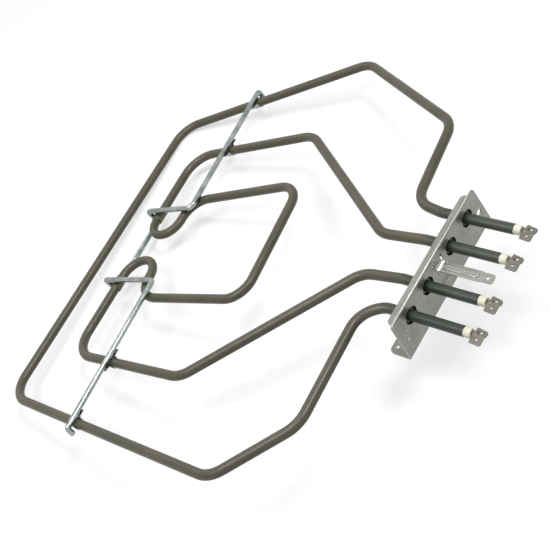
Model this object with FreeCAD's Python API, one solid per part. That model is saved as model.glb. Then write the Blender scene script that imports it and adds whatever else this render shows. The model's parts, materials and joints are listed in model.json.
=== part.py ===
import FreeCAD, Part
import math
import os
from FreeCAD import Placement, Rotation, Vector

# Tubular heating element of an oven: an outer and an inner sheathed loop on one bracket.
# Millimetres. X runs along the bracket, +Y from the bracket to the coil, +Z is up.
# The origin is on the bracket's front face, midway between its two fixing holes.

# Sheathed tube
sheath_diameter = 6.5
sheath_wall = 0.5
pin_diameter = 2.8
coil_bore = 1.6
pin_inside = 10.0

# Cold ends, from +X to -X: where each tube passes the bracket and how far it sticks out
outer_hole_x = 34.6
inner_hole_x = 14.2
tube_rise = 8.0
cold_lengths = {"a": 31.0, "b": 32.2, "c": 33.4, "d": 34.6}
exit_length = 17.4
exit_bend_radius = 12.0

# Coil plane against the bracket: turned about Z, twisted about Y, drooping about X
coil_turn = 7.4
coil_twist = 2.9
coil_droop = 10.3
coil_shift_x = 6.6
coil_shift_y = 1.7
coil_rise = 4.5

# Bends of the tubes, measured on the centreline
bend_radius = 20.0
mouth_bend_radius = 18.0
neck_bend_radius = 18.0
loop_bend_radius = 16.5

# Corners of the outer tube in the coil plane, right side then left side
outer_right = [(38.6, 33.8), (104.5, 35.9), (175.0, 136.6), (128.8, 305.7)]
outer_left = [(-44.6, 36.5), (-121.0, 40.0), (-161.2, 85.1), (-131.9, 307.5)]

# Corners of the inner tube in the coil plane, right side then left side
inner_right = [(14.0, 48.3), (105.2, 152.9), (94.3, 268.1)]
inner_left = [(-16.3, 47.7), (-100.7, 151.9), (-92.1, 267.4)]
return_x_right = 15.5
return_x_left = -8.4
return_gap_right = 27.4
return_gap_left = 29.8
neck_x_right = 47.4
neck_x_left = -41.7
loop_right = (58.8, 138.7)
loop_left = (-39.3, 134.8)

# Bracket: a folded channel that opens toward the coil
sheet = 1.0
bracket_left = -50.7
bracket_right_top = 48.2
bracket_right_bottom = 52.2
bracket_top = 18.9
bracket_bottom = -15.4
bracket_corner = 2.5
fold_radius = 1.3
top_flange_depth = 4.6
top_flange_start = -49.0
top_flange_end = 42.8
bottom_flange_depth = 15.3
bottom_flange_end = 47.0
flange_corner = 3.5
tube_hole_diameter = 11.2
lip_wall = 0.8
lip_depth = 3.4
fixing_hole_diameter = 4.8
fixing_spacing = 90.0
flange_hole_diameter = 2.2
flange_hole_x = -45.9
flange_hole_y = 11.8
window_width = 11.0
window_height = 4.4
window_z = -5.1
crease_x = -43.0
crease_top = 15.2
crease_bottom = 4.6
crease_width = 1.4
crease_depth = 0.3
pip_x = -3.4
pip_z = 15.0
pip_diameter = 3.0
pip_height = 0.6

# Collars that hold the tubes: a flange on the lip behind the bracket, a spigot inside the lip
collar_diameter = 13.2
collar_length = 2.2
spigot_diameter = 9.0
spigot_length = 2.2

# Earth tab: its strap comes through an opening of the bracket, its leg goes up behind
strap_width = 7.0
strap_thickness = 0.8
strap_length = 35.0
strap_bend = 3.2
leg_top = 17.4
head_width = 14.0
head_height = 6.5
blade_width = 6.3
blade_length = 7.6
blade_chamfer = 1.1
blade_hole_diameter = 2.2
blade_hole_inset = 3.8
rib_width = 4.0
rib_height = 0.8
rib_round = 0.5
rib_start = 2.4
rib_end = 25.2

# Opening for the strap, with a slit up from its right side and one down from its left side
opening_left = -4.0
opening_right = 4.8
opening_top = 12.1
opening_bottom = 6.4
right_slit_width = 1.4
right_slit_top = 14.6
left_slit_width = 0.7
left_slit_bottom = 3.1

# Terminals: ceramic bush, pin and double tab
bush_diameter = 6.0
bush_length = 4.4
bush_spigot = 3.0
bush_chamfer = 0.4
neck_length = 1.1
front_tab_width = 6.3
rear_tab_width = 4.2
tab_length = 7.0
tab_thickness = 0.8
tab_offset = 0.2
tab_drop = 0.9
tab_dip = 7.0
front_tab_turn = 2.5
rear_tab_turn = 7.5
front_tab_tilt = 4.0
rear_tab_tilt = -6.0
tab_chamfer = 0.9
tab_hole_diameter = 1.6
tab_hole_inset = 3.4
saddle_length = 2.6
saddle_wall = 0.7

# Support wire, laid over the tubes and hooked under both far legs
wire_diameter = 4.0
rest_gap = 0.05
wire_bend_radius_right = 5.0
wire_bend_radius_left = 2.8
hook_bend_radius = 2.4
wire_overhang = 7.4
wire_tail = 6.0
wire_bend_right = (36.1, 230.1)
wire_bend_left = (-29.8, 224.1)
wire_heading_right = 1.8
wire_heading_left = 181.8
crown_right = (34.5, 277.3)
crown_left = (-30.9, 277.3)
link_y = 275.0
link_inset = 0.5

# Clips that strap the tubes to the wire, and saddles between the far legs and its hooks
clip_width = 5.0
clip_sheet = 0.7
clip_foot = 4.0
clip_bend = 0.9
clip_lip = 2.0
saddle_width = 11.0
saddle_gap = 0.3

# Straight runs shorter than this are left out between two bends
shortest_run = 0.01

sheath_radius = sheath_diameter / 2
bore_radius = sheath_radius - sheath_wall
pin_radius = pin_diameter / 2
wire_radius = wire_diameter / 2
wire_level = sheath_radius + rest_gap + wire_radius
hook_level = sheath_radius + clip_sheet + rest_gap + wire_radius
tube_hole_x = {"a": outer_hole_x, "b": inner_hole_x, "c": -inner_hole_x, "d": -outer_hole_x}
coil_origin = Vector(coil_shift_x, coil_shift_y, tube_rise + coil_rise)
coil_place = Placement(coil_origin, Rotation(coil_turn, coil_twist, -coil_droop))
neck_right = (neck_x_right, inner_right[-1][1] - return_gap_right)
neck_left = (neck_x_left, inner_left[-1][1] - return_gap_left)
slant = math.sqrt(0.5)


def in_coil(point, level=0.0):
    """A point of the coil plane, lifted by level, in the bracket's frame."""
    return coil_place.multVec(Vector(point[0], point[1], level))


def rounded_path(corners, radii):
    """A wire of straight runs joined by tangent arcs, one radius for each inner corner."""
    edges = []
    at = corners[0]
    for before, corner, after, radius in zip(corners, corners[1:], corners[2:], radii):
        back = (before - corner).normalize()
        ahead = (after - corner).normalize()
        half_turn = (math.pi - back.getAngle(ahead)) / 2
        reach = radius * math.tan(half_turn)
        start = corner + back * reach
        end = corner + ahead * reach
        bisector = (back + ahead).normalize()
        middle = corner + bisector * (radius / math.cos(half_turn) - radius)
        if (start - at).Length > shortest_run:
            edges.append(Part.LineSegment(at, start).toShape())
        edges.append(Part.Arc(start, middle, end).toShape())
        at = end
    edges.append(Part.LineSegment(at, corners[-1]).toShape())
    return Part.Wire(edges)


def ring_face(centre, direction, outer, bore):
    """A disc, or a ring when bore is not zero, square to direction."""
    rim = Part.Wire(Part.makeCircle(outer, centre, direction))
    if not bore:
        return Part.Face(rim)
    hole = Part.Wire(Part.makeCircle(bore, centre, direction))
    return Part.Face(rim).cut(Part.Face(hole)).Faces[0]


def bent_tube(path, outer, bore=0.0):
    """A round tube, or a rod when bore is zero, along a wire from rounded_path."""
    first = path.OrderedEdges[0]
    start = first.valueAt(first.FirstParameter)
    direction = first.tangentAt(first.FirstParameter)
    return path.makePipe(ring_face(start, direction, outer, bore))


def cold_tip(name):
    """End of a cold end's sheath, in front of the bracket."""
    return Vector(tube_hole_x[name], -cold_lengths[name], tube_rise)


def exit_corner(name):
    """Where a tube leaves its straight cold end behind the bracket."""
    return Vector(tube_hole_x[name], exit_length, tube_rise)


def outer_corners():
    """Corners of the outer tube from cold end a to cold end d, with their bend radii."""
    right = [in_coil(point) for point in outer_right]
    left = [in_coil(point) for point in outer_left]
    corners = [cold_tip("a"), exit_corner("a")] + right + left[::-1] + [exit_corner("d"), cold_tip("d")]
    side = [mouth_bend_radius] + [bend_radius] * (len(outer_right) - 1)
    return corners, [exit_bend_radius] + side + side[::-1] + [exit_bend_radius]


def inner_corners():
    """Corners of the inner tube from cold end b to cold end c, with their bend radii."""
    right = inner_right + [(return_x_right, inner_right[-1][1]), (return_x_right, neck_right[1])]
    left = inner_left + [(return_x_left, inner_left[-1][1]), (return_x_left, neck_left[1])]
    right += [neck_right, loop_right]
    left += [neck_left, loop_left]
    middle = [in_coil(point) for point in right + left[::-1]]
    corners = [cold_tip("b"), exit_corner("b")] + middle + [exit_corner("c"), cold_tip("c")]
    side = [bend_radius] * len(inner_right)
    right_radii = side + [return_gap_right / 2] * 2 + [neck_bend_radius, loop_bend_radius]
    left_radii = side + [return_gap_left / 2] * 2 + [neck_bend_radius, loop_bend_radius]
    return corners, [exit_bend_radius] + right_radii + left_radii[::-1] + [exit_bend_radius]


def shortened(corners, cut_start, cut_end):
    """The same corners with the first and last run cut back."""
    first = corners[0] + (corners[1] - corners[0]).normalize() * cut_start
    last = corners[-1] + (corners[-2] - corners[-1]).normalize() * cut_end
    return [first] + corners[1:-1] + [last]


def loop_pieces(corners, radii, first, last):
    """Sheath, magnesia filling and heating coil of one tube."""
    sheath = bent_tube(rounded_path(corners, radii), sheath_radius, bore_radius)
    packed = rounded_path(shortened(corners, bush_spigot, bush_spigot), radii)
    jacket = bent_tube(packed, bore_radius, pin_radius)
    coil_cut = [cold_lengths[name] + pin_inside for name in (first, last)]
    wound = rounded_path(shortened(corners, *coil_cut), radii)
    core = bent_tube(wound, coil_bore / 2)
    coil = bent_tube(wound, pin_radius, coil_bore / 2)
    return sheath, Part.makeCompound([jacket, core]), coil


def channel_fold(side, depth, x_start, x_end):
    """One folded edge of the bracket, side +1 at the top and -1 at the bottom."""
    edge = bracket_top if side > 0 else bracket_bottom
    inner = fold_radius - sheet
    bend_z = edge - side * fold_radius

    def at(y, z):
        return Vector(x_start, y, z)

    outer_mid = at(fold_radius * (1 - slant), bend_z + side * fold_radius * slant)
    inner_mid = at(fold_radius - inner * slant, bend_z + side * inner * slant)
    inside = edge - side * sheet
    outline = [
        Part.Arc(at(0, bend_z), outer_mid, at(fold_radius, edge)).toShape(),
        Part.makeLine(at(fold_radius, edge), at(depth, edge)),
        Part.makeLine(at(depth, edge), at(depth, inside)),
        Part.makeLine(at(depth, inside), at(fold_radius, inside)),
        Part.Arc(at(fold_radius, inside), inner_mid, at(sheet, bend_z)).toShape(),
        Part.makeLine(at(sheet, bend_z), at(0, bend_z)),
    ]
    folded = Part.Face(Part.Wire(outline)).extrude(Vector(x_end - x_start, 0, 0))
    corners = []
    for x in (x_start, x_end):
        for piece in folded.Edges:
            box = piece.BoundBox
            upright = box.ZLength > sheet / 2 and box.XLength + box.YLength < sheet / 10
            if upright and abs(box.XMin - x) < sheet / 10 and abs(box.YMin - depth) < sheet / 10:
                corners.append(piece)
    return folded.makeFillet(min(flange_corner, (depth - fold_radius) * 0.9), corners)


def plate_drill(x, z, diameter, depth=sheet):
    """A round cutter through the bracket's plate, and on to a depth behind its front face."""
    through = Vector(x, -sheet, z)
    return Part.makeCylinder(diameter / 2, depth + 2 * sheet, through, Vector(0, 1, 0))


def plate_cut(left, right, bottom, top):
    """A rectangular cutter through the bracket's plate."""
    return Part.makeBox(right - left, 3 * sheet, top - bottom, Vector(left, -sheet, bottom))


def bracket_plate():
    """Flat plate of the bracket, one end slanted, with three of its corners rounded."""
    outline = [
        (bracket_left, bracket_bottom), (bracket_right_bottom, bracket_bottom),
        (bracket_right_top, bracket_top), (bracket_left, bracket_top), (bracket_left, bracket_bottom),
    ]
    face = Part.Face(Part.makePolygon([Vector(x, 0, z) for x, z in outline]))
    plate = face.extrude(Vector(0, sheet, 0))
    rounded = outline[1:4]
    ends = []
    for edge in plate.Edges:
        box = edge.BoundBox
        if box.YLength > sheet / 2 and any(
            abs(box.XMin - x) + abs(box.ZMin - z) < sheet / 10 for x, z in rounded
        ):
            ends.append(edge)
    return plate.makeFillet(bracket_corner, ends)


def strap_cuts():
    """Opening of the bracket for the earth tab, its two slits and the window below."""
    return [
        plate_cut(opening_left, opening_right, opening_bottom, opening_top),
        plate_cut(opening_right - right_slit_width, opening_right, opening_bottom, right_slit_top),
        plate_cut(opening_left, opening_left + left_slit_width, left_slit_bottom, opening_top),
        plate_cut(
            -window_width / 2, window_width / 2, window_z - window_height / 2, window_z + window_height / 2
        ),
    ]


def mounting_bracket():
    """Folded sheet channel with lipped tube holes, fixing holes and the earth tab's opening."""
    bracket = bracket_plate()
    folds = [
        (1, top_flange_depth, top_flange_start, top_flange_end),
        (-1, bottom_flange_depth, bracket_left, bottom_flange_end),
    ]
    for side, depth, x_start, x_end in folds:
        z = bracket_top - fold_radius if side > 0 else bracket_bottom
        bracket = bracket.cut(plate_cut(x_start, x_end, z, z + fold_radius))
        bracket = bracket.fuse(channel_fold(side, depth, x_start, x_end))
    lip_radius = tube_hole_diameter / 2 + lip_wall
    lips = [
        Part.makeCylinder(lip_radius, lip_depth, Vector(x, 0, tube_rise), Vector(0, 1, 0))
        for x in tube_hole_x.values()
    ]
    cuts = [plate_drill(x, tube_rise, tube_hole_diameter, lip_depth) for x in tube_hole_x.values()]
    cuts += [plate_drill(side * fixing_spacing / 2, 0, fixing_hole_diameter) for side in (-1, 1)]
    cuts += strap_cuts()
    hole_foot = Vector(flange_hole_x, flange_hole_y, bracket_bottom - sheet)
    cuts.append(Part.makeCylinder(flange_hole_diameter / 2, 3 * sheet, hole_foot))
    crease_radius = (crease_width ** 2 / 4 + crease_depth ** 2) / (2 * crease_depth)
    crease_foot = Vector(crease_x, crease_depth - crease_radius, crease_bottom)
    cuts.append(Part.makeCylinder(crease_radius, crease_top - crease_bottom, crease_foot))
    pip_radius = (pip_diameter ** 2 / 4 + pip_height ** 2) / (2 * pip_height)
    ball = Part.makeSphere(pip_radius, Vector(pip_x, pip_radius - pip_height, pip_z))
    front = Part.makeBox(pip_diameter, 2 * pip_height, pip_diameter)
    front.translate(Vector(pip_x - pip_diameter / 2, -2 * pip_height + sheet / 2, pip_z - pip_diameter / 2))
    return bracket.fuse(lips).cut(cuts).fuse(ball.common(front)).removeSplitter()


def collar(name):
    """Flanged ring brazed on a tube: the flange sits on the lip, the spigot inside it."""
    back = Vector(0, 1, 0)
    seat = Vector(tube_hole_x[name], lip_depth, tube_rise)
    flange = ring_face(seat, back, collar_diameter / 2, sheath_radius).extrude(back * collar_length)
    spigot = ring_face(seat, back, spigot_diameter / 2, sheath_radius).extrude(back * -spigot_length)
    return flange.fuse(spigot).removeSplitter()


def tapered_blade(width, length, thickness, chamfer):
    """Flat tab along -Y from the origin, centred in X, with its tip corners cut off."""
    half = width / 2
    outline = [
        (-half, 0), (half, 0), (half, -length + chamfer), (half - chamfer, -length),
        (chamfer - half, -length), (-half, -length + chamfer), (-half, 0),
    ]
    points = [Vector(x, y, -thickness / 2) for x, y in outline]
    return Part.Face(Part.makePolygon(points)).extrude(Vector(0, 0, thickness))


def slot_block(width, y_start, y_end, base, top):
    """Block with half-round ends that runs along -Y, between two levels."""
    radius = width / 2
    near = y_start - radius
    far = y_end + radius

    def at(x, y):
        return Vector(x, y, base)

    outline = [
        Part.makeLine(at(radius, near), at(radius, far)),
        Part.Arc(at(radius, far), at(0, y_end), at(-radius, far)).toShape(),
        Part.makeLine(at(-radius, far), at(-radius, near)),
        Part.Arc(at(-radius, near), at(0, y_start), at(radius, near)).toShape(),
    ]
    return Part.Face(Part.Wire(outline)).extrude(Vector(0, 0, top - base))


def strap_body():
    """Strap that runs forward on z = 0, with a bend and a leg up behind the bracket."""
    half = strap_thickness / 2
    front_y = blade_length - strap_length
    back_y = sheet + strap_thickness
    bend_y = sheet - strap_bend
    bend_z = half + strap_bend
    leg_z = leg_top - tube_rise
    inner = strap_bend
    outer = strap_bend + strap_thickness

    def at(y, z):
        return Vector(-strap_width / 2, y, z)

    outer_mid = at(bend_y + outer * slant, bend_z - outer * slant)
    inner_mid = at(bend_y + inner * slant, bend_z - inner * slant)
    outline = [
        Part.makeLine(at(front_y, -half), at(bend_y, -half)),
        Part.Arc(at(bend_y, -half), outer_mid, at(back_y, bend_z)).toShape(),
        Part.makeLine(at(back_y, bend_z), at(back_y, leg_z)),
        Part.makeLine(at(back_y, leg_z), at(sheet, leg_z)),
        Part.makeLine(at(sheet, leg_z), at(sheet, bend_z)),
        Part.Arc(at(sheet, bend_z), inner_mid, at(bend_y, half)).toShape(),
        Part.makeLine(at(bend_y, half), at(front_y, half)),
        Part.makeLine(at(front_y, half), at(front_y, -half)),
    ]
    return Part.Face(Part.Wire(outline)).extrude(Vector(strap_width, 0, 0))


def earth_tab():
    """Ribbed strap with a 6.3 mm blade in front and a T-shaped leg behind the bracket."""
    half = strap_thickness / 2
    ridge_top = half + rib_height
    blade = tapered_blade(blade_width, blade_length, strap_thickness, blade_chamfer)
    blade.translate(Vector(0, blade_length - strap_length, 0))
    head = Part.makeBox(head_width, strap_thickness, head_height)
    head.translate(Vector(-head_width / 2, sheet, leg_top - tube_rise - head_height))
    ridge = slot_block(rib_width, -rib_start, -rib_end, -half, ridge_top)
    crown = [e for e in ridge.Edges if e.BoundBox.ZMin > half]
    ridge = ridge.makeFillet(rib_round, crown)
    groove_start = -rib_start - strap_thickness
    groove_end = strap_thickness - rib_end
    groove_width = rib_width - 2 * strap_thickness
    groove = slot_block(groove_width, groove_start, groove_end, -half, ridge_top - strap_thickness)
    hole_foot = Vector(0, blade_hole_inset - strap_length, -strap_thickness)
    hole = Part.makeCylinder(blade_hole_diameter / 2, 2 * strap_thickness, hole_foot)
    tab = strap_body().fuse([blade, head, ridge]).cut([groove, hole]).removeSplitter()
    tab.translate(Vector(0, 0, tube_rise))
    return tab


def bush_face(name):
    """Point on a cold end's axis where the ceramic bush ends and the bare pin shows."""
    return cold_tip(name) - Vector(0, bush_length, 0)


def ceramic_bush(name):
    """Bush with a spigot inside the sheath."""
    back = Vector(0, 1, 0)
    head = Part.makeCylinder(bush_diameter / 2, bush_length, bush_face(name), back)
    rim = [e for e in head.Edges if abs(e.BoundBox.YMax - head.BoundBox.YMin) < bush_chamfer / 10]
    head = head.makeChamfer(bush_chamfer, rim)
    spigot = Part.makeCylinder(bore_radius, bush_spigot, cold_tip(name), back)
    reach = bush_length + bush_spigot
    pin_hole = Part.makeCylinder(pin_radius, reach, bush_face(name), back)
    return head.fuse(spigot).cut(pin_hole).removeSplitter()


def terminal_pin(name):
    """Cold pin from the tab's saddle to the heating coil behind the bracket."""
    tip = bush_face(name) - Vector(0, neck_length + saddle_length, 0)
    return Part.makeCylinder(pin_radius, pin_inside - tip.y, tip, Vector(0, 1, 0))


def tab_blade(side, width, level, tilt, turn):
    """One blade of a terminal tab, its root at y = 0; side +1 is toward +X."""
    blade = tapered_blade(width, tab_length, tab_thickness, tab_chamfer)
    hole_foot = Vector(0, tab_hole_inset - tab_length, -tab_thickness)
    blade = blade.cut(Part.makeCylinder(tab_hole_diameter / 2, 2 * tab_thickness, hole_foot))
    blade.translate(Vector(side * width / 2, 0, 0))
    origin = Vector(0, 0, 0)
    blade.rotate(origin, Vector(0, 1, 0), -tilt)
    blade.rotate(origin, Vector(0, 0, 1), -turn)
    blade.rotate(origin, Vector(1, 0, 0), tab_dip)
    blade.translate(Vector(tab_offset, 0, level))
    return blade


def terminal_tab(name):
    """Double push-on tab: two blades, one a step above the other, on a saddle around the pin."""
    forward = Vector(0, -1, 0)
    origin = Vector(0, 0, 0)
    top = pin_radius + saddle_wall - tab_thickness / 2
    saddle = ring_face(origin, forward, pin_radius + saddle_wall, pin_radius)
    saddle = saddle.extrude(forward * saddle_length)
    front = tab_blade(-1, front_tab_width, top, front_tab_tilt, front_tab_turn)
    rear = tab_blade(1, rear_tab_width, top - tab_drop, rear_tab_tilt, rear_tab_turn)
    step = Part.makeBox(2 * tab_thickness, saddle_length, tab_drop + tab_thickness)
    step.translate(Vector(tab_offset - tab_thickness, -saddle_length, top - tab_drop - tab_thickness / 2))
    pin_room = Part.makeCylinder(pin_radius, saddle_length, origin, forward)
    span = front_tab_width + rear_tab_width
    behind = Part.makeBox(2 * span, sheet, 2 * span)
    behind.translate(Vector(-span, 0, -span))
    tab = saddle.fuse([front, rear, step]).cut([pin_room, behind]).removeSplitter()
    tab.translate(bush_face(name) - Vector(0, neck_length, 0))
    return tab


def crossing(a, b, c, d):
    """Where line a-b meets line c-d in the coil plane."""
    run = (b[0] - a[0], b[1] - a[1])
    other = (d[0] - c[0], d[1] - c[1])
    scale = run[0] * other[1] - run[1] * other[0]
    share = ((c[0] - a[0]) * other[1] - (c[1] - a[1]) * other[0]) / scale
    return a[0] + share * run[0], a[1] + share * run[1]


def toward(point, angle, distance):
    """The point of the coil plane at a distance from another in a direction given in degrees."""
    turn = math.radians(angle)
    return point[0] + distance * math.cos(turn), point[1] + distance * math.sin(turn)


def bend_start(side):
    """Where a far leg of the inner tube stops being straight, on the side of its U-bend."""
    if side > 0:
        return return_x_right + return_gap_right / 2, inner_right[-1][1]
    return return_x_left - return_gap_left / 2, inner_left[-1][1]


def wire_plan(side):
    """Points of one half of the support wire in the coil plane, from its end to the link."""
    if side > 0:
        bend, angle, crown, outer_leg = wire_bend_right, wire_heading_right, crown_right, outer_right[-2:]
    else:
        bend, angle, crown, outer_leg = wire_bend_left, wire_heading_left, crown_left, outer_left[-2:]
    end = toward(crossing(bend, toward(bend, angle, 1), *outer_leg), angle, wire_overhang)
    return end, bend, crown, (crown[0] - side * link_inset, link_y)


def wire_corners():
    """Corners of the support wire with their bend radii, from the right end to the left end."""
    halves = []
    for side in (1, -1):
        end, bend, crown, hooked = wire_plan(side)
        points = [in_coil(end, wire_level - wire_tail), in_coil(end, wire_level), in_coil(bend, wire_level)]
        halves.append(points + [in_coil(crown, wire_level), in_coil(hooked, -hook_level)])
    radii_right = [hook_bend_radius, wire_bend_radius_right, hook_bend_radius, hook_bend_radius]
    radii_left = [hook_bend_radius, hook_bend_radius, wire_bend_radius_left, hook_bend_radius]
    return halves[0] + halves[1][::-1], radii_right + radii_left


def heading(start, end):
    """Direction from start to end in the coil plane, in degrees from +X."""
    return math.degrees(math.atan2(end[1] - start[1], end[0] - start[0]))


def footed_side(side):
    """Outline of a clip on one side of its tube: a leg that turns out into a foot."""
    inner = sheath_radius
    outer = sheath_radius + clip_sheet
    foot_top = sheath_radius + rest_gap
    foot_bottom = foot_top - clip_sheet
    bend_z = foot_bottom - clip_bend
    far = clip_bend + clip_sheet
    reach = inner + far + clip_foot

    def at(across, z):
        return Vector(0, side * across, z)

    outside_bend = at(inner + far * (1 - slant), bend_z + far * slant)
    inside_bend = at(outer + clip_bend * (1 - slant), bend_z + clip_bend * slant)
    return [
        Part.makeLine(at(inner, 0), at(inner, bend_z)),
        Part.Arc(at(inner, bend_z), outside_bend, at(inner + far, foot_top)).toShape(),
        Part.makeLine(at(inner + far, foot_top), at(reach, foot_top)),
        Part.makeLine(at(reach, foot_top), at(reach, foot_bottom)),
        Part.makeLine(at(reach, foot_bottom), at(inner + far, foot_bottom)),
        Part.Arc(at(inner + far, foot_bottom), inside_bend, at(outer, bend_z)).toShape(),
        Part.makeLine(at(outer, bend_z), at(outer, 0)),
    ]


def plain_side(side):
    """Outline of a clip on one side of its tube: a leg that ends in a lip."""
    corners = [
        Vector(0, side * sheath_radius, 0),
        Vector(0, side * sheath_radius, clip_lip),
        Vector(0, side * (sheath_radius + clip_sheet), clip_lip),
        Vector(0, side * (sheath_radius + clip_sheet), 0),
    ]
    return [Part.makeLine(start, end) for start, end in zip(corners, corners[1:])]


def strap_under_tube(sides, length):
    """Sheet bent under a tube that lies along X, from the outlines of its two sides."""
    edges = sides[:]
    for radius in (sheath_radius, sheath_radius + clip_sheet):
        ends = [Vector(0, side * radius, 0) for side in (-1, 1)]
        edges.append(Part.Arc(ends[0], Vector(0, 0, -radius), ends[1]).toShape())
    outline = Part.Wire(Part.__sortEdges__(edges))
    strap = Part.Face(outline).extrude(Vector(length, 0, 0))
    strap.translate(Vector(-length / 2, 0, 0))
    return strap


def on_coil(shape, place, angle):
    """A shape made around the origin, turned and set down at a place of the coil plane."""
    seat = Placement(Vector(place[0], place[1], 0), Rotation(angle, 0, 0))
    shape.Placement = coil_place * seat * shape.Placement
    return shape


def wire_clip(wire_ends, tube_ends, sides):
    """Clip under a tube with its feet against the underside of the crossing wire."""
    wire_angle = heading(*wire_ends)
    tube_angle = heading(*tube_ends)
    strap = strap_under_tube(sides, 3 * clip_width)
    strap.rotate(Vector(0, 0, 0), Vector(0, 0, 1), tube_angle - wire_angle)
    span = 2 * (sheath_diameter + clip_foot + clip_bend + clip_sheet)
    slab = Part.makeBox(span, clip_width, 2 * sheath_diameter)
    slab.translate(Vector(-span / 2, -clip_width / 2, -sheath_diameter))
    return on_coil(strap.common(slab).Solids[0], crossing(*wire_ends, *tube_ends), wire_angle)


def tube_saddle(side):
    """Half sleeve under a far leg, right beside its U-bend."""
    x, y = bend_start(side)
    strap = strap_under_tube(plain_side(1) + plain_side(-1), saddle_width)
    return on_coil(strap, (x + side * (saddle_gap + saddle_width / 2), y), 0)


def build():
    """All nodes by name."""
    nodes = {"mounting_bracket": mounting_bracket(), "earth_tab": earth_tab()}
    for loop, (corners, radii), first, last in (
        ("outer", outer_corners(), "a", "d"),
        ("inner", inner_corners(), "b", "c"),
    ):
        sheath, magnesia, coil = loop_pieces(corners, radii, first, last)
        nodes[loop + "_sheath"] = sheath
        nodes[loop + "_magnesia"] = magnesia
        nodes[loop + "_heating_coil"] = coil
    for name in cold_lengths:
        nodes["tube_collar_" + name] = collar(name)
        nodes["ceramic_bush_" + name] = ceramic_bush(name)
        nodes["terminal_pin_" + name] = terminal_pin(name)
        nodes["terminal_tab_" + name] = terminal_tab(name)
    nodes["support_wire"] = bent_tube(rounded_path(*wire_corners()), wire_radius)
    for side, name in ((1, "right"), (-1, "left")):
        end, bend = wire_plan(side)[:2]
        outer_leg, inner_leg = (outer_right, inner_right) if side > 0 else (outer_left, inner_left)
        inward, outward = footed_side(side), footed_side(-side)
        nodes["wire_clip_inner_" + name] = wire_clip((bend, end), inner_leg[-2:], inward + outward)
        lipped = inward + plain_side(-side)
        nodes["wire_clip_outer_" + name] = wire_clip((bend, end), outer_leg[-2:], lipped)
        nodes["tube_saddle_" + name] = tube_saddle(side)
    return nodes


os.makedirs("parts", exist_ok=True)
for node, shape in build().items():
    shape.exportStep("parts/" + node + ".step")
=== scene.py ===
import json

import bpy
from mathutils import Matrix, Vector


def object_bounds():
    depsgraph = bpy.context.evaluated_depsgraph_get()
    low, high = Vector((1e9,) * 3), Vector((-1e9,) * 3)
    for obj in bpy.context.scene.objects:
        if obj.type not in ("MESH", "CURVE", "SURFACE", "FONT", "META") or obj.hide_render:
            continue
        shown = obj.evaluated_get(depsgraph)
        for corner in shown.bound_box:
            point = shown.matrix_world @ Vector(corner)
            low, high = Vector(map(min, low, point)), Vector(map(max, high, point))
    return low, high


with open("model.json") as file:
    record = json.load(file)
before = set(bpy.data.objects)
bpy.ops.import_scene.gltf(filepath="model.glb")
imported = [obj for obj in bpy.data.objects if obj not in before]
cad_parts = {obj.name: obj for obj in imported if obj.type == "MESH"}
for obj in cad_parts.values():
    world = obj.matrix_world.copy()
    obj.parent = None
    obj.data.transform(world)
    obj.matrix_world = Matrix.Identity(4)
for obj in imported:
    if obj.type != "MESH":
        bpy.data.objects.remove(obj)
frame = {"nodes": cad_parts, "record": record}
cad_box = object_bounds()

# Sizes in metres, in the frame of the solids.
FLOOR_DROP = 0.0006
FLOOR_SIZE = 6.0
COLD_END_Y = 0.016
COLD_END_FADE = 0.010
COLD_END_DRIFT = 0.004

# Levels, where 1 is white for the light and full for the gloss.
FLOOR_SHADE = 0.5
FLOOR_GLOW = 0.585
WORLD_FILL = 0.12
SHEATH_GLOSS = 0.45

# The cosine between the true and the rounded normal, on flat ground and on a full edge.
FLAT_COSINE = 0.97
EDGE_COSINE = 0.80

# Each lamp: its name, place in metres, side in metres and power in watts.
LAMPS = [
    ("key", (-0.40, 0.20, 1.15), 0.7, 9.0),
    ("sheen", (0.38, -0.36, 1.15), 0.35, 8.0),
    ("back", (0.30, 1.10, 0.90), 0.4, 1.5),
]

# The camera: where it stands, where it looks and its lens, worked out from the tubes in the photograph.
CAMERA_PLACE = Vector((-0.2468, -0.3000, 0.4741))
CAMERA_RIGHT = Vector((0.5088, -0.7535, -0.4164))
CAMERA_DOWN = Vector((-0.7970, -0.2295, -0.5587))
FOCAL_PIXELS = 1056.2
IMAGE_PIXELS = 550
SENSOR = 36.0


def srgb(red, green, blue):
    """A colour of 0 to 255 steps as a linear colour with alpha."""
    steps = [value / 255 for value in (red, green, blue)]
    return [c / 12.92 if c <= 0.04045 else ((c + 0.055) / 1.055) ** 2.4 for c in steps] + [1.0]


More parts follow.
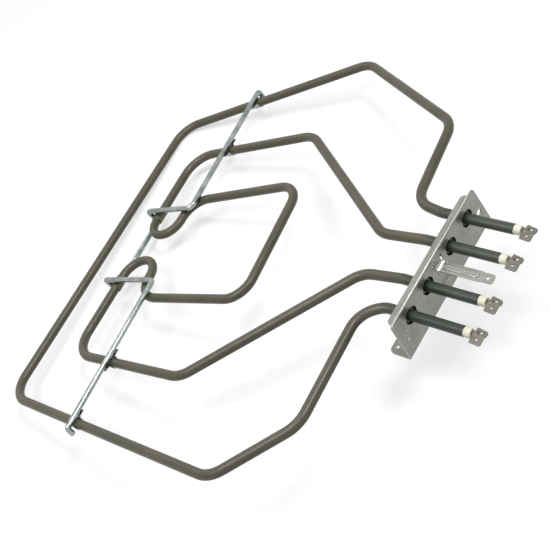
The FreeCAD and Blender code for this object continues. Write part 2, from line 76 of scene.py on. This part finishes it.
class Graph:
    """A material's node tree, with short calls that add a node and link it."""

    def __init__(self, name):
        self.material = bpy.data.materials.new(name)
        self.material.use_nodes = True
        self.tree = self.material.node_tree
        self.shader = self.tree.nodes["Principled BSDF"]
        self.place = self.add("ShaderNodeTexCoord").outputs["Object"]

    def add(self, kind, inputs=None, **settings):
        node = self.tree.nodes.new(kind)
        for key, value in settings.items():
            setattr(node, key, value)
        for key, value in (inputs or {}).items():
            self.feed(node.inputs[key], value)
        return node

    def feed(self, socket, value):
        if isinstance(value, bpy.types.NodeSocket):
            self.tree.links.new(value, socket)
        else:
            socket.default_value = value

    def stretched(self, scale):
        return self.add("ShaderNodeMapping", {"Vector": self.place, "Scale": scale}).outputs["Vector"]

    def noise(self, scale, detail=4.0, roughness=0.55, vector=None):
        inputs = {"Vector": vector or self.place, "Scale": scale, "Detail": detail, "Roughness": roughness}
        return self.add("ShaderNodeTexNoise", inputs).outputs["Fac"]

    def remap(self, value, low, high, to_low=0.0, to_high=1.0):
        inputs = {"Value": value, "From Min": low, "From Max": high, "To Min": to_low, "To Max": to_high}
        return self.add("ShaderNodeMapRange", inputs, clamp=True).outputs["Result"]

    def math(self, operation, first, second):
        return self.add("ShaderNodeMath", {0: first, 1: second}, operation=operation).outputs[0]

    def mix(self, factor, first, second):
        node = self.add("ShaderNodeMix", data_type="RGBA")
        self.feed(node.inputs["Factor"], factor)
        self.feed(node.inputs[6], first)
        self.feed(node.inputs[7], second)
        return node.outputs[2]

    def along_y(self):
        return self.add("ShaderNodeSeparateXYZ", {"Vector": self.place}).outputs["Y"]

    def edges(self, radius):
        """1 along sharp edges and 0 on flat ground."""
        rounded = self.add("ShaderNodeBevel", {"Radius": radius}, samples=6).outputs["Normal"]
        true = self.add("ShaderNodeNewGeometry").outputs["Normal"]
        same = self.add("ShaderNodeVectorMath", {0: rounded, 1: true}, operation="DOT_PRODUCT")
        return self.remap(same.outputs["Value"], FLAT_COSINE, EDGE_COSINE)

    def bump(self, value, strength, distance, radius=0.0):
        inputs = {"Height": value, "Strength": strength, "Distance": distance}
        if radius:
            inputs["Normal"] = self.add("ShaderNodeBevel", {"Radius": radius}, samples=4).outputs["Normal"]
        self.feed(self.shader.inputs["Normal"], self.add("ShaderNodeBump", inputs).outputs["Normal"])

    def surface(self, colour, metallic, roughness):
        self.feed(self.shader.inputs["Base Color"], colour)
        self.feed(self.shader.inputs["Metallic"], metallic)
        self.feed(self.shader.inputs["Roughness"], roughness)
        return self.material


def sheath_material():
    """Annealed tube: matt olive-brown over the heated length, darker and greener on the cold ends."""
    graph = Graph("sheath")
    cloud = graph.noise(38, 5)
    grain = graph.noise(2600, 3)
    warm = graph.mix(graph.remap(cloud, 0.35, 0.68), srgb(72, 70, 54), srgb(86, 82, 64))
    cold = graph.mix(graph.remap(cloud, 0.4, 0.62), srgb(42, 49, 42), srgb(63, 68, 60))
    drift = graph.remap(cloud, 0.3, 0.7, -COLD_END_DRIFT, COLD_END_DRIFT)
    along = graph.math("ADD", graph.along_y(), drift)
    heated = graph.remap(along, COLD_END_Y - COLD_END_FADE, COLD_END_Y + COLD_END_FADE)
    colour = graph.mix(heated, cold, warm)
    scale_spots = graph.remap(graph.noise(420, 6, 0.7), 0.60, 0.72, 0.0, 0.35)
    colour = graph.mix(scale_spots, colour, srgb(52, 50, 39))
    graph.bump(grain, 0.25, 0.00004)
    graph.shader.inputs["Specular IOR Level"].default_value = SHEATH_GLOSS
    return graph.surface(colour, 0.0, graph.remap(grain, 0.3, 0.7, 0.30, 0.40))


def brushed_material(
    name, dark, light, across, roughness=0.34, metallic=0.75, edge_highlight=(225, 226, 222), edge_width=0.0003
):
    """Sheet or bar steel with fine lines, with a painted highlight along its edges."""
    graph = Graph(name)
    lines = graph.noise(1.0, 6, 0.7, graph.stretched(across))
    cloud = graph.noise(60, 3)
    colour = graph.mix(graph.remap(lines, 0.3, 0.7), dark, light)
    colour = graph.mix(graph.remap(cloud, 0.45, 0.75, 0.0, 0.4), colour, dark)
    if edge_width:
        # Painted highlight: the edges are coloured paler, standing in for the light that rounded edges
        # catch.
        colour = graph.mix(graph.edges(edge_width), colour, srgb(*edge_highlight))
    graph.bump(lines, 0.18, 0.00003, edge_width / 2)
    return graph.surface(colour, metallic, graph.remap(cloud, 0.3, 0.7, roughness - 0.06, roughness + 0.08))


def wire_material():
    """Bright drawn wire, smooth enough to mirror its surroundings."""
    graph = Graph("wire")
    cloud = graph.noise(160, 4)
    colour = graph.mix(graph.remap(cloud, 0.35, 0.65), srgb(134, 141, 138), srgb(168, 175, 172))
    graph.bump(graph.noise(500, 3), 0.04, 0.00002)
    return graph.surface(colour, 1.0, graph.remap(cloud, 0.3, 0.7, 0.12, 0.22))


def ceramic_material():
    """Unglazed cream ceramic with fine pores."""
    graph = Graph("ceramic")
    cloud = graph.noise(300, 4)
    pores = graph.remap(graph.noise(3200, 2), 0.62, 0.75)
    colour = graph.mix(graph.remap(cloud, 0.35, 0.65), srgb(232, 225, 203), srgb(246, 241, 224))
    colour = graph.mix(graph.math("MULTIPLY", pores, 0.35), colour, srgb(196, 186, 160))
    graph.bump(pores, 0.3, 0.00005, 0.0002)
    return graph.surface(colour, 0.0, 0.55)


def powder_material():
    """Pressed magnesia, out of sight inside the tubes."""
    graph = Graph("magnesia")
    grain = graph.noise(4000, 3)
    colour = graph.mix(grain, srgb(214, 211, 203), srgb(240, 238, 232))
    graph.bump(grain, 0.5, 0.00005)
    return graph.surface(colour, 0.0, 0.9)


# The bracket, saddle and resistance wire get the painted edge highlight; the other steels have none.
MATERIALS = {
    "sheath_steel": sheath_material(),
    "bracket_steel": brushed_material("bracket", srgb(118, 119, 114), srgb(168, 169, 163), (60, 400, 2600)),
    "tab_steel": brushed_material(
        "tab", srgb(92, 90, 80), srgb(136, 134, 124), (1800, 80, 1800), 0.34, 0.5, edge_width=0.0
    ),
    # Collar colour near-black: painted shade, so the gaps around the tubes in the bracket holes look dark.
    "collar_steel": brushed_material(
        "collar", srgb(34, 37, 33), srgb(60, 63, 57), (900, 2600, 900), 0.45, 0.3, edge_width=0.0
    ),
    "pin_steel": brushed_material(
        "pin", srgb(58, 60, 54), srgb(96, 96, 88), (1500, 100, 1500), 0.4, 0.5, edge_width=0.0
    ),
    "saddle_steel": brushed_material(
        "saddle", srgb(88, 84, 68), srgb(112, 106, 88), (2000, 300, 2000), 0.4, 0.4, (150, 146, 130), 0.0002
    ),
    "bright_wire": wire_material(),
    "resistance_wire": brushed_material("coil", srgb(96, 90, 86), srgb(130, 124, 118), (2500, 500, 2500)),
    "ceramic": ceramic_material(),
    "magnesia": powder_material(),
}

# Pieces that look unlike the rest of their slot
OWN_LOOKS = {
    "earth_tab": brushed_material(
        "earth_strap", srgb(124, 123, 117), srgb(200, 200, 194), (2600, 90, 2600), 0.24, 0.9, edge_width=0.0
    ),
}

for part in frame["record"]["subparts"]:
    mesh = frame["nodes"][part["node"]].data
    mesh.materials.clear()
    mesh.materials.append(OWN_LOOKS.get(part["node"]) or MATERIALS[part["material_slot"]])


def seen_directly(tree):
    """1 for rays from the camera, from a reflection or through glass."""
    path = tree.nodes.new("ShaderNodeLightPath")
    total = path.outputs["Is Camera Ray"]
    for name in ("Is Glossy Ray", "Is Transmission Ray"):
        add = tree.nodes.new("ShaderNodeMath")
        add.operation = "MAXIMUM"
        tree.links.new(total, add.inputs[0])
        tree.links.new(path.outputs[name], add.inputs[1])
        total = add.outputs[0]
    return total


def white_world(fill):
    """A white surround that lights the object only at the fill level."""
    world = bpy.data.worlds.new("surround")
    bpy.context.scene.world = world
    world.use_nodes = True
    tree = world.node_tree
    level = tree.nodes.new("ShaderNodeMapRange")
    level.inputs["To Min"].default_value = fill
    level.inputs["To Max"].default_value = 1.0
    tree.links.new(seen_directly(tree), level.inputs["Value"])
    background = tree.nodes["Background"]
    background.inputs["Color"].default_value = (1, 1, 1, 1)
    tree.links.new(level.outputs["Result"], background.inputs["Strength"])


def floor_under(level):
    """A pale floor that still takes the object's shadow."""
    bpy.ops.mesh.primitive_plane_add(size=FLOOR_SIZE, location=(0, 0, level))
    floor = bpy.context.object
    floor.name = "floor"
    material = bpy.data.materials.new("floor")
    material.use_nodes = True
    tree = material.node_tree
    shader = tree.nodes["Principled BSDF"]
    shader.inputs["Base Color"].default_value = (FLOOR_SHADE, FLOOR_SHADE, FLOOR_SHADE, 1)
    shader.inputs["Roughness"].default_value = 0.9
    shader.inputs["Specular IOR Level"].default_value = 0.0
    shader.inputs["Emission Color"].default_value = (1, 1, 1, 1)
    glow = tree.nodes.new("ShaderNodeMath")
    glow.operation = "MULTIPLY"
    glow.inputs[1].default_value = FLOOR_GLOW
    tree.links.new(seen_directly(tree), glow.inputs[0])
    tree.links.new(glow.outputs[0], shader.inputs["Emission Strength"])
    floor.data.materials.append(material)


def softbox(name, place, target, side, power):
    """A square area lamp that faces the target."""
    lamp = bpy.data.lights.new(name, "AREA")
    lamp.shape = "SQUARE"
    lamp.size = side
    lamp.energy = power
    holder = bpy.data.objects.new(name, lamp)
    holder.location = place
    holder.rotation_euler = (Vector(target) - Vector(place)).to_track_quat("-Z", "Y").to_euler()
    bpy.context.scene.collection.objects.link(holder)


def camera():
    """The photograph's viewpoint."""
    data = bpy.data.cameras.new("camera")
    data.sensor_width = SENSOR
    data.lens = FOCAL_PIXELS * SENSOR / IMAGE_PIXELS
    data.clip_start = 0.01
    holder = bpy.data.objects.new("camera", data)
    right = CAMERA_RIGHT.normalized()
    back = right.cross(-CAMERA_DOWN).normalized()
    up = back.cross(right)
    turn = Matrix((right, up, back)).transposed().to_4x4()
    holder.matrix_world = Matrix.Translation(CAMERA_PLACE) @ turn
    bpy.context.scene.collection.objects.link(holder)
    bpy.context.scene.camera = holder


centre = (cad_box[0] + cad_box[1]) / 2
white_world(WORLD_FILL)
floor_under(cad_box[0].z - FLOOR_DROP)
for lamp_name, lamp_place, lamp_side, lamp_power in LAMPS:
    softbox(lamp_name, lamp_place, centre, lamp_side, lamp_power)
camera()
bpy.context.scene.view_settings.view_transform = "Standard"
